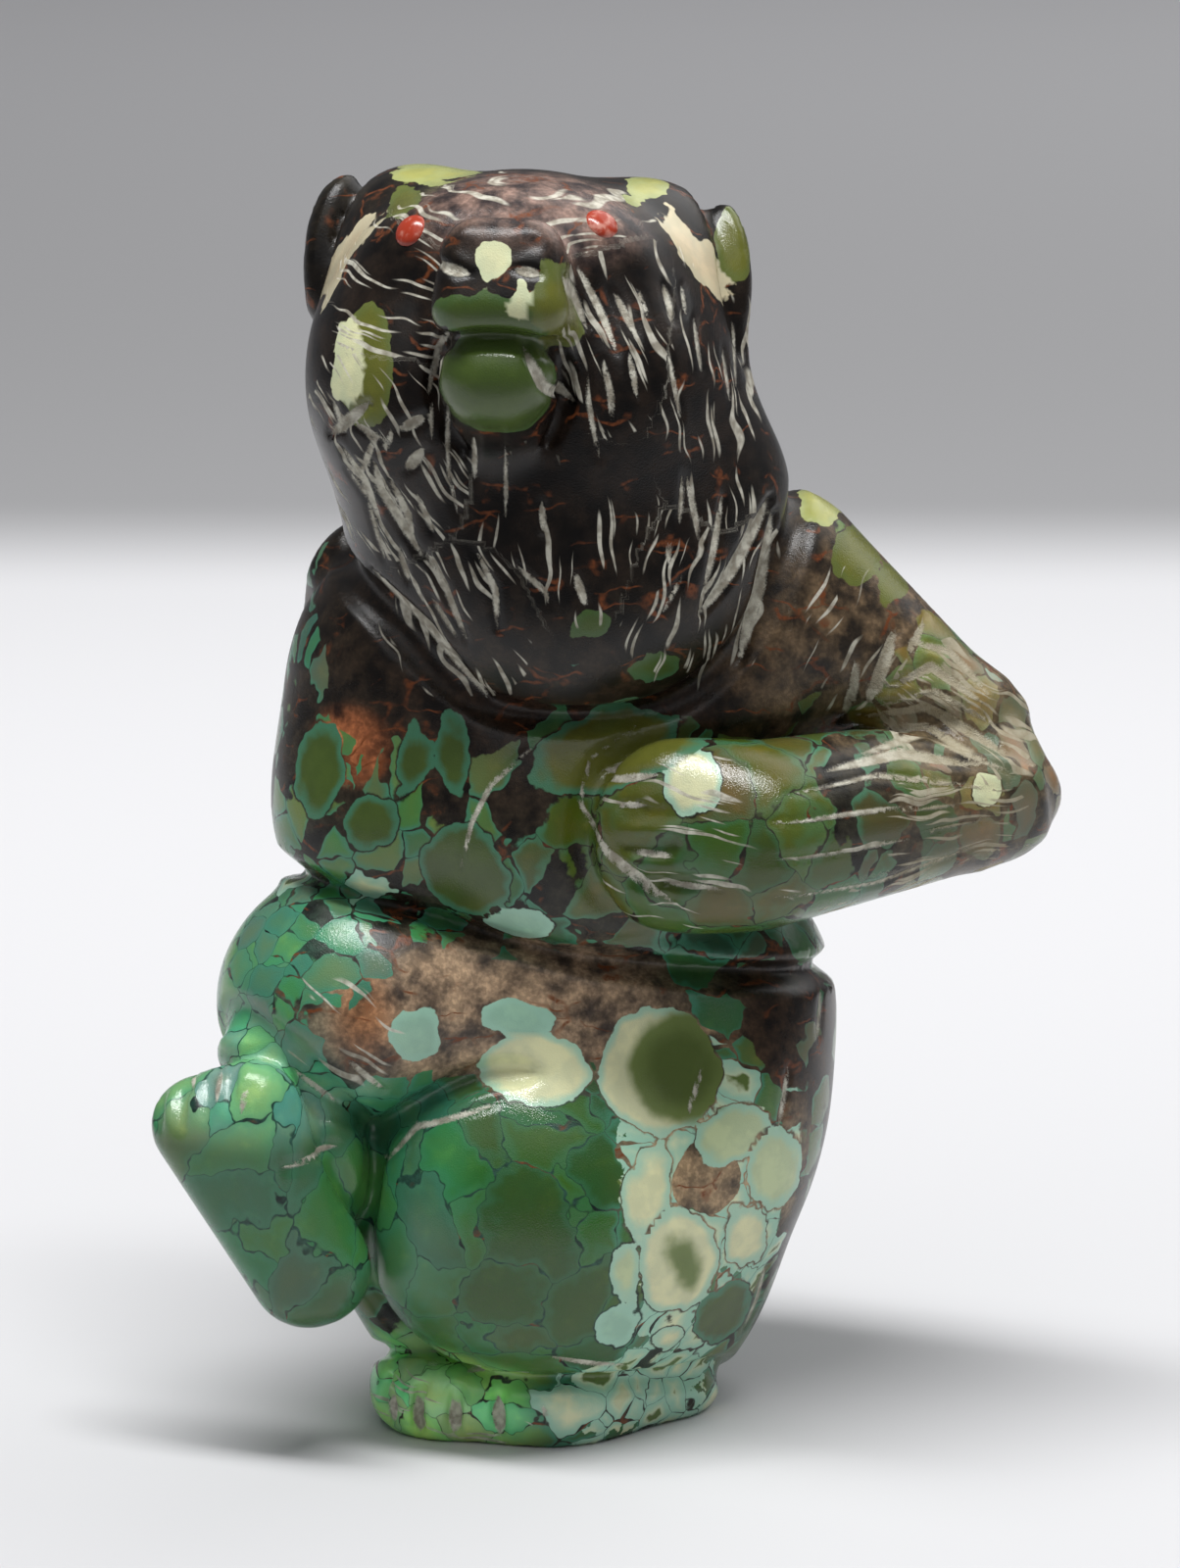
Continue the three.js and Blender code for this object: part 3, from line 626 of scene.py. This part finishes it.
for middle, (wide, tall), tilt, tone in [
    ((-16.7, -12.5, 85.3), (2.3, 4.5), 0, OLIVE),
    ((-17.9, -11.7, 85.4), (1.2, 3.3), 0, CREAM),
    ((-6.9, -20.6, 90.0), (4.2, 1.9), 8, MOSS),
    ((-1.9, -18.5, 90.2), (2.6, 4.2), -25, OLIVE),
    ((-6.9, -19.9, 94.0), (1.3, 1.2), 0, CREAM),
    ((-5.0, -20.8, 91.3), (0.8, 1.7), 15, CREAM),
    ((-6.6, -21.3, 85.0), (5.4, 5.4), 0, MOSS),
    # This lime band along the crown is partly a green nodule and partly a painted highlight where the
    # overhead light runs along the top of the head.
    ((-13.0, 2.0, 98.3), (4.6, 1.2), 4, LIME),
    ((4.9, 1.3, 97.0), (2.6, 1.0), -25, LIME),
    ((8.2, -1.0, 91.8), (1.3, 4.7), -39, DUST),
    ((-18.2, -1.5, 92.2), (0.8, 4.3), 35, DUST),
    ((-13.7, -3.2, 96.0), (1.9, 1.3), 30, OLIVE),
    ((11.2, 2.5, 92.2), (1.5, 2.6), 0, OLIVE),
    ((0.2, -15.9, 66.2), (1.5, 1.0), -25, MOSS),
    ((4.8, -13.6, 62.4), (2.1, 1.2), 0, MOSS),
    ((18.0, 1.3, 72.3), (1.7, 1.7), 0, LIME),
    ((20.7, -1.8, 68.8), (2.2, 2.0), 0, OLIVE),
    ((24.0, -0.1, 66.7), (2.6, 1.3), -45, OLIVE),
    ((7.9, -17.3, 54.4), (2.1, 2.4), 0, CREAM),
    ((-9.3, -12.4, 46.2), (3.5, 3.7), 0, MOSS),
    ((-13.3, -10.4, 54.8), (1.3, 2.9), 8, MOSS),
    ((-10.3, -10.8, 55.1), (1.3, 3.1), -5, MOSS),
    ((-20.6, -8.2, 53.2), (2.0, 3.4), 10, MOSS),
    ((-16.6, -10.9, 49.7), (2.0, 2.1), 0, MOSS),
    ((-5.2, -12.6, 42.0), (2.6, 1.6), 0, AQUA),
    ((-13.1, -14.9, 34.1), (1.9, 2.3), 0, AQUA),
    ((-5.3, -12.3, 34.6), (2.9, 1.4), 5, AQUA),
    ((-4.1, -12.3, 30.7), (4.4, 2.7), 0, CREAM),
    ((5.4, -12.0, 30.4), (4.8, 4.8), 0, CREAM),
    ((2.5, -13.0, 56.0), (7.0, 3.3), -16, OLIVE),
    ((10.9, -11.0, 25.2), (3.4, 2.2), -20, PALE),
    ((14.2, -9.0, 22.0), (2.4, 3.6), -10, PALE),
    ((4.4, -15.1, 21.4), (1.8, 3.6), 12, CREAM),
    ((2.9, -15.5, 15.6), (1.1, 2.6), 0, PALE),
    ((2.3, -15.2, 10.9), (1.7, 2.0), 0, AQUA),
    ((12.4, -10.7, 16.4), (1.8, 3.0), -12, CREAM),
    ((7.2, -14.6, 15.4), (3.2, 4.8), -12, CREAM),
    ((10.7, -8.0, 9.4), (2.6, 4.0), -18, MOSS),
    ((6.3, -13.5, 8.6), (1.3, 1.5), 0, CREAM),
    ((30.4, -6.5, 51.4), (1.3, 1.2), 0, CREAM),
]:
    edge = from_edge(middle, wide, tall, tilt)
    over = edge < np.maximum(nodule, 0)
    nodule_tone[over] = tone
    touching = np.where(nodule < 0, np.abs(edge), 2 * far)
    apart = np.where(over, touching, np.minimum(apart, np.abs(edge)))
    nodule = np.minimum(nodule, edge)

# Two of the cream ones have an olive core
core = np.full(len(points), far)
for middle, (wide, tall), tilt in [
    ((7.2, -11.7, 30.6), (4.2, 4.3), 0),
    ((7.4, -14.6, 15.6), (1.3, 2.5), -20),
]:
    core = np.minimum(core, from_edge(middle, wide, tall, tilt))

# The lattice of nodules is drawn in or spread out round a few middles
cells = points.astype(float)
for at, reach, gain in [
    ((-5, -15, 18), 15, -0.48),
    ((-26, -15, 20), 12, -0.5),
    ((9, -15, 50), 14, -0.4),
    ((-22, -8, 37), 12, 0.35),
    ((4, -8, 3), 8, 0.4),
]:
    toward = points - np.array(at)
    cells += gain * toward * np.exp(-(toward**2).sum(1) / reach**2)[:, None]

points -= (outward * sunk[:, None]).astype(np.float32)
mesh = bpy.data.meshes.new("stone_bear")
mesh.from_pydata(metres(points).tolist(), [], quads.tolist())
mesh.shade_smooth()
for name, values in {
    "scored": scored,
    "nodule": nodule,
    "apart": apart,
    "core": core,
    "rock_share": amount[:, 0],
    "cream_share": amount[:, 1],
}.items():
    layer = mesh.attributes.new(name, "FLOAT", "POINT")
    layer.data.foreach_set("value", values.astype(np.float32))
for name, values in {
    "cells": cells,
    "turquoise": turquoise,
    "host": host,
    "nodule_tone": nodule_tone,
    "fur": fur,
}.items():
    layer = mesh.attributes.new(name, "FLOAT_VECTOR", "POINT")
    layer.data.foreach_set("vector", values.astype(np.float32).ravel())
stone_bear = bpy.data.objects.new("stone_bear", mesh)
bpy.context.scene.collection.objects.link(stone_bear)
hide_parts("bear")
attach(stone_bear, "root")

# The polished stone
# Green nodules, pale rims and dark veins; the rock is duller, and the scored cuts are chalky.
# Everything below reads the place on the stone or what the mesh holds there.
stone = bpy.data.materials.new("stone")
stone.use_nodes = True
tree = stone.node_tree
tree.nodes.clear()


def add(kind, takes, gives=0, **settings):
    """A node in the tree at hand: what its sockets take, and the output that is wanted from it."""
    made = tree.nodes.new("ShaderNode" + kind)
    for key, value in settings.items():
        setattr(made, key, value)
    for socket, value in takes.items():
        if isinstance(value, bpy.types.NodeSocket):
            tree.links.new(value, made.inputs[socket])
        else:
            made.inputs[socket].default_value = value
    return made.outputs[gives] if made.outputs else None


def plus(a, b):
    return add("Math", {0: a, 1: b}, operation="ADD")


def less(a, b):
    return add("Math", {0: a, 1: b}, operation="SUBTRACT")


def times(a, b):
    return add("Math", {0: a, 1: b}, operation="MULTIPLY")


def most(a, b):
    return add("Math", {0: a, 1: b}, operation="MAXIMUM")


def rise(value, low, high, bottom=0.0, top=1.0):
    takes = {0: value, 1: low, 2: high, 3: bottom, 4: top}
    return add("MapRange", takes, interpolation_type="SMOOTHSTEP")


def mix(share_of_b, a, b, blend="MIX"):
    return add("Mix", {0: share_of_b, 6: a, 7: b}, 2, data_type="RGBA", blend_type=blend)


def tinted(colour, tint):
    return mix(1.0, colour, tint, "MULTIPLY")


def grey(value):
    return (value, value, value, 1)


def noise(vector, scale, detail=3.0, gives=0):
    return add("TexNoise", {"Vector": vector, "Scale": scale, "Detail": detail}, gives)


def drift(vector, scale, reach):
    """A soft push in all directions, of up to about half the reach."""
    push = vector_of("SUBTRACT", noise(vector, scale, 1.0, 1), (0.5, 0.5, 0.5))
    return vector_of("SCALE", push, reach)


def stored(name, gives=2):
    return add("Attribute", {}, gives, attribute_name=name)


def vector_of(operation, a, b):
    return add("VectorMath", {0: a, "Scale" if operation == "SCALE" else 1: b}, operation=operation)


def parts_of(vector):
    return add("SeparateXYZ", {0: vector}).node.outputs


in_shares = vector_of("SCALE", add("TexCoord", {}, 3), 1 / share)
place_x, _, place_z = parts_of(in_shares)
broad = noise(in_shares, 0.35, 2.0)
patchy = noise(in_shares, 0.55, 5.0)
grain = noise(in_shares, 2.6, 3.0)
fine = noise(in_shares, 9.0, 1.0)
ragged = times(less(noise(in_shares, 0.6, 4.0), 0.5), 2.4)

# The lattice of nodules: how far a point is from the nodule's edge, and three lots drawn for it
cell_scale = 0.29
where = vector_of("ADD", stored("cells", 1), drift(in_shares, 0.14, 3.2))
where = vector_of("ADD", where, drift(in_shares, 0.7, 1.1))
lattice = {"Vector": where, "Scale": cell_scale, "Randomness": 0.95}
to_edge = add("TexVoronoi", lattice, 0, feature="DISTANCE_TO_EDGE")
cell_edge = times(to_edge, 1 / cell_scale)
lots = add("SeparateColor", {0: add("TexVoronoi", lattice, 1)}).node.outputs
rock_share, cream_share = stored("rock_share"), stored("cream_share")
soft = plus(cell_edge, times(ragged, 0.5))

# Green nodules: each has its own tone, a little more teal towards its edge and paler in patches
TEAL_SHIFT, PALE_SHIFT = (0.6, 1.05, 1.45, 1), (1.7, 1.35, 1.1, 1)
swings = [(2, 0.7, 1.45), (1, 0.82, 1.2), (0, 0.65, 1.1)]
tones = [rise(lots[lot], 0, 1, low, high) for lot, low, high in swings]
green = tinted(stored("turquoise", 1), add("CombineColor", dict(enumerate(tones))))
green = mix(rise(soft, 0.1, 1.6, 0.55, 0.0), green, tinted(green, TEAL_SHIFT))
green = mix(rise(patchy, 0.52, 0.75, 0.0, 0.5), green, tinted(green, PALE_SHIFT))

# Cream nodules, some with an olive yolk
CREAM_RIM, CREAM_HEART, YOLK = (0.38, 0.62, 0.46, 1), (0.74, 0.77, 0.48, 1), (0.11, 0.17, 0.04, 1)
cream = mix(rise(soft, 0.2, 1.4), CREAM_RIM, CREAM_HEART)
yolk = times(rise(lots[0], 0.5, 0.52), rise(soft, 0.8, 1.1))
cream = mix(yolk, cream, YOLK)
creamy = plus(cream_share, times(ragged, rise(cream_share, 0.05, 0.4, 0.0, 0.35)))
is_cream = rise(less(creamy, lots[1]), 0.0, 0.02)

# A thin bright rim round each nodule, which fades out towards the elbow
GREEN_RIM, PALE_RIM = (0.06, 0.26, 0.16, 1), (0.34, 0.62, 0.47, 1)
off_elbow = rise(place_x, 15, 25, 1.0, 0.15)
rim = rise(plus(cell_edge, times(ragged, 0.15)), 0.05, 0.55, 0.8, 0.0)
rim = times(rim, rise(plus(rock_share, cream_share), 0.0, 0.3, 0.25, 1.0))
rim = times(rim, off_elbow)
nodules = mix(rim, mix(is_cream, green, cream), mix(is_cream, GREEN_RIM, PALE_RIM))

# Rock, with rust in its seams and black grains
RUST, BLACK = (0.17, 0.05, 0.017, 1), (0.006, 0.005, 0.004, 1)
lying = {"Vector": vector_of("MULTIPLY", where, (0.12, 0.12, 0.36)), "Scale": 1.0}
seams = add("TexVoronoi", lying, 0, feature="DISTANCE_TO_EDGE")
rust = times(rise(seams, 0.008, 0.04, 1.0, 0.0), rise(broad, 0.5, 0.62))
rust = most(rust, times(rise(broad, 0.63, 0.7), rise(patchy, 0.48, 0.62)))
clouds = [rise(patchy, 0.3, 0.72, low, high) for low, high in [(0.25, 2.2), (0.25, 2.0), (0.3, 1.9)]]
rock = tinted(stored("host", 1), add("CombineColor", dict(enumerate(clouds))))
rock = mix(rise(grain, 0.4, 0.65, 0.35, 0.0), rock, BLACK)
rock = mix(times(rust, rise(grain, 0.35, 0.6, 0.4, 1.0)), rock, RUST)

# What is rock: whole cells of the lattice, and the veins between the nodules
loose = rise(plus(times(broad, 2.0), rock_share), 1.1, 1.7)
vein_width = plus(times(loose, 0.34), times(rise(patchy, 0.42, 0.7), 0.07))
vein = rise(less(cell_edge, vein_width), -0.03, 0.05, 1.0, 0.0)
rocky = plus(less(rock_share, lots[0]), times(ragged, 0.12))
is_rock = most(rise(rocky, -0.01, 0.02), vein)
colour = mix(is_rock, nodules, rock)

# The nodules that stand out, with a teal edge, uneven outlines and a crack where two touch
TEAL_EDGE, AQUA_EDGE = (0.06, 0.22, 0.13, 1), (0.36, 0.62, 0.48, 1)
uneven = plus(times(ragged, 0.4), times(less(broad, 0.5), 1.5))
edge = plus(stored("nodule"), uneven)
own_tone = stored("nodule_tone", 1)
is_pale = rise(add("SeparateColor", {0: own_tone}), 0.2, 0.3)
tone = mix(rise(patchy, 0.4, 0.65, 0.0, 0.35), own_tone, tinted(own_tone, (1.5, 1.4, 1.3, 1)))
below_head = rise(place_z, 58, 64, 0.85, 0.12)
teal = times(rise(edge, -0.75, -0.1), times(below_head, off_elbow))
tone = mix(teal, tone, mix(is_pale, TEAL_EDGE, AQUA_EDGE))
core_edge = plus(stored("core"), times(uneven, 0.8))
core_tone = mix(rise(core_edge, -2.4, -0.3), (0.085, 0.125, 0.025, 1), (0.16, 0.22, 0.06, 1))
tone = mix(rise(core_edge, -0.6, 0.45, 1.0, 0.0), tone, core_tone)
crack = plus(stored("apart"), times(ragged, 0.1))
crack = plus(crack, rise(place_z, 45, 50))
inside = times(rise(edge, -0.03, 0.05, 1.0, 0.0), rise(crack, 0.1, 0.24))
skirt = rise(edge, 0.05, 0.22, 1.0, 0.0)
colour = mix(skirt, colour, rock)
colour = mix(inside, colour, tone)
is_rock = times(most(is_rock, skirt), less(1.0, inside))

# The finer fur, which lies in two layers of long thin slivers along the flow
across, down, thick = parts_of(stored("fur", 1))
across = plus(across, times(noise(in_shares, 0.22, 1.0), 2.2))
layers = []
for wide, long, nudge in [(1.25, 0.12, 0.0), (1.7, 0.085, 17.3)]:
    sliver = add("CombineXYZ", {0: times(across, wide), 1: plus(times(down, long), nudge)})
    hair = {"Vector": sliver, "Scale": 1.0, "Randomness": 1.0}
    away = add("TexVoronoi", hair, 0, voronoi_dimensions="2D")
    drawn = add("SeparateColor", {0: add("TexVoronoi", hair, 1, voronoi_dimensions="2D")}).node.outputs
    size = plus(times(drawn[0], 0.19), 0.085)
    shows = rise(less(thick, drawn[1]), 0.0, 0.05)
    layers.append(times(rise(less(away, size), -0.07, 0.02, 1.0, 0.0), shows))
fur_cut = times(most(*layers), 0.85)

# Stone dust in the cuts, dirtier on the arm
chalk = mix(rise(noise(in_shares, 1.1, 2.0), 0.35, 0.65), (0.34, 0.31, 0.245, 1), (0.68, 0.66, 0.56, 1))
chalk = mix(rise(place_x, 16, 26, 0.0, 0.75), chalk, (0.34, 0.29, 0.18, 1))
cutting = rise(plus(stored("scored"), times(less(fine, 0.5), 0.25)), -0.12, 0.05, 1.0, 0.0)
cutting = times(most(cutting, fur_cut), rise(grain, 0.2, 0.45, 0.7, 1.0))
colour = mix(cutting, colour, chalk)

POLISHED, DULLER, DUSTY = 0.13, 0.27, 0.75
gloss = mix(cutting, mix(is_rock, grey(POLISHED), grey(DULLER)), grey(DUSTY))
rough_cut = rise(stored("scored"), -0.2, 0.1, 1.0, 0.12)
relief = add("Bump", {"Strength": 0.35, "Distance": 0.0004, "Height": times(rough_cut, fine)})
surface = {"Base Color": colour, "Roughness": gloss, "Normal": relief, "IOR": 1.55}
surface["Specular IOR Level"] = rise(is_rock, 0.2, 0.9, 0.5, 0.3)
add("OutputMaterial", {"Surface": add("BsdfPrincipled", surface)})
mesh.materials.append(stone)

# The coral eyes
# Each is a round peg of red coral let into the stone, with a low polished dome.
# The left one has more of the coral's pale grain in it.
eye_radius, eye_dome, eye_shank = 0.0009, 0.00045, 0.0013
eye_sides, dome_rings = 40, 9
coral = bpy.data.materials.new("coral")
coral.use_nodes = True
tree = coral.node_tree
tree.nodes.clear()
in_mm = vector_of("SCALE", add("TexCoord", {}, 3), 1000.0)
flecks = plus(noise(in_mm, 2.4, 3.0), rise(parts_of(in_mm)[0], -3.0, 2.0, -0.1, 0.08))
red = mix(rise(flecks, 0.42, 0.72), (0.40, 0.045, 0.02, 1), (0.62, 0.26, 0.2, 1))
surface = add("BsdfPrincipled", {"Base Color": red, "Roughness": 0.18, "IOR": 1.5})
add("OutputMaterial", {"Surface": surface})
for name in ["right_eye", "left_eye"]:
    low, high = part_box(name)
    centre = np.array((low + high) / 2)
    axis = slope_at((centre / share + shift)[None].astype(np.float32))[0]
    axis = Vector(axis).normalized()
    brow = Vector(centre) + axis * (eye_shank - eye_dome) / 2
    rings = [(eye_radius, -eye_shank), (eye_radius, -0.0001)]
    rings += [(eye_radius * math.cos(a), eye_dome * math.sin(a)) for a in np.linspace(0, 1.45, dome_rings)]
    turned = axis.to_track_quat("Z", "Y")
    around = [(math.cos(t), math.sin(t)) for t in np.linspace(0, 2 * math.pi, eye_sides, endpoint=False)]
    spots = [turned @ Vector((r * c, r * s, h)) + brow for r, h in rings for c, s in around]
    faces = []
    for r in range(0, (len(rings) - 1) * eye_sides, eye_sides):
        for i in range(eye_sides):
            j = (i + 1) % eye_sides
            faces.append((r + i, r + j, r + eye_sides + j, r + eye_sides + i))
    faces += [tuple(reversed(range(eye_sides))), tuple(range(len(spots) - eye_sides, len(spots)))]
    ball = bpy.data.meshes.new(name + "_coral")
    ball.from_pydata(spots, [], faces)
    ball.shade_smooth()
    ball.materials.append(coral)
    eye = bpy.data.objects.new(name + "_coral", ball)
    bpy.context.scene.collection.objects.link(eye)
    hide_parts(name)
    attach(eye, "root")

# The paper it stands on
# One flat matt sheet in metres, pale round the bear, grey well behind it and a little in front of it;
# these changes of tone are painted light and shade, not the paper's own colour.
half_width, front, rear = 3, -0.3, 3
sheet = bpy.data.meshes.new("paper_sheet")
corners = [(-half_width, front, 0), (half_width, front, 0), (half_width, rear, 0), (-half_width, rear, 0)]
sheet.from_pydata(corners, [], [(0, 1, 2, 3)])
floor = bpy.data.objects.new("paper_sheet", sheet)
bpy.context.scene.collection.objects.link(floor)
paper = bpy.data.materials.new("paper")
paper.use_nodes = True
tree = paper.node_tree
tree.nodes.clear()
back = parts_of(add("TexCoord", {}, 3))[1]
# Painted light towards the horizon, a painted grey band for a backdrop dimming upwards, painted light
# again far back against the lamps' falloff, and painted shade in front.
paper_tone_with_painted_light = rise(back, -0.03, 0.2, 0.65, 0.81)
paper_tone_with_painted_light = less(paper_tone_with_painted_light, rise(back, 0.216, 0.262, 0.0, 0.41))
paper_tone_with_painted_light = plus(paper_tone_with_painted_light, rise(back, 0.26, 0.9, 0.0, 0.42))
paper_tone_with_painted_light = less(paper_tone_with_painted_light, rise(back, -0.13, -0.05, 0.44, 0.0))
pale = add("CombineColor", {0: paper_tone_with_painted_light, 1: paper_tone_with_painted_light, 2: times(paper_tone_with_painted_light, 1.02)})
surface = add("BsdfPrincipled", {"Base Color": pale, "Roughness": 0.8, "Specular IOR Level": 0.2})
add("OutputMaterial", {"Surface": surface})
sheet.materials.append(paper)

# The light
# A narrow strip overhead, a broad soft box above the front, another high behind, and a dim room.
# Each lamp has its place and what it points at, its width and depth, and its power.
world = bpy.data.worlds.new("room")
world.use_nodes = True
world.node_tree.nodes["Background"].inputs["Color"].default_value = (0.6, 0.6, 0.63, 1)
world.node_tree.nodes["Background"].inputs["Strength"].default_value = 0.22
bpy.context.scene.world = world


def lamp(name, place, aim, width, depth, power):
    light = bpy.data.lights.new(name, "AREA")
    light.shape, light.size, light.size_y, light.energy = "RECTANGLE", width, depth, power
    holder = bpy.data.objects.new(name, light)
    holder.location = place
    holder.rotation_euler = (Vector(aim) - Vector(place)).to_track_quat("-Z", "Y").to_euler()
    bpy.context.scene.collection.objects.link(holder)


lamp("strip", (-0.03, -0.07, 0.5), (0, 0, 0.03), 0.42, 0.08, 2.6)
lamp("softbox", (0.0, -0.25, 0.42), (0, -0.01, 0.02), 0.6, 0.4, 0.45)
lamp("back_softbox", (0.35, 0.35, 0.5), (0.1, 0.1, 0), 0.8, 0.6, 1.9)

# The camera
# It stands where the photograph's did, which the section on the strokes gives in shares.
camera = bpy.data.cameras.new("camera")
camera.lens = lens
camera.sensor_width = sensor
camera.clip_start, camera.clip_end = 0.01, 20
viewer = bpy.data.objects.new("camera", camera)
toward_viewer = np.array([0, -math.cos(look_down), math.sin(look_down)])
viewer.location = metres(mid_bear) + far_off * share * toward_viewer
viewer.rotation_euler = (math.pi / 2 - look_down, 0, 0)
bpy.context.scene.collection.objects.link(viewer)
bpy.context.scene.camera = viewer
bpy.context.scene.view_settings.view_transform = "Standard"
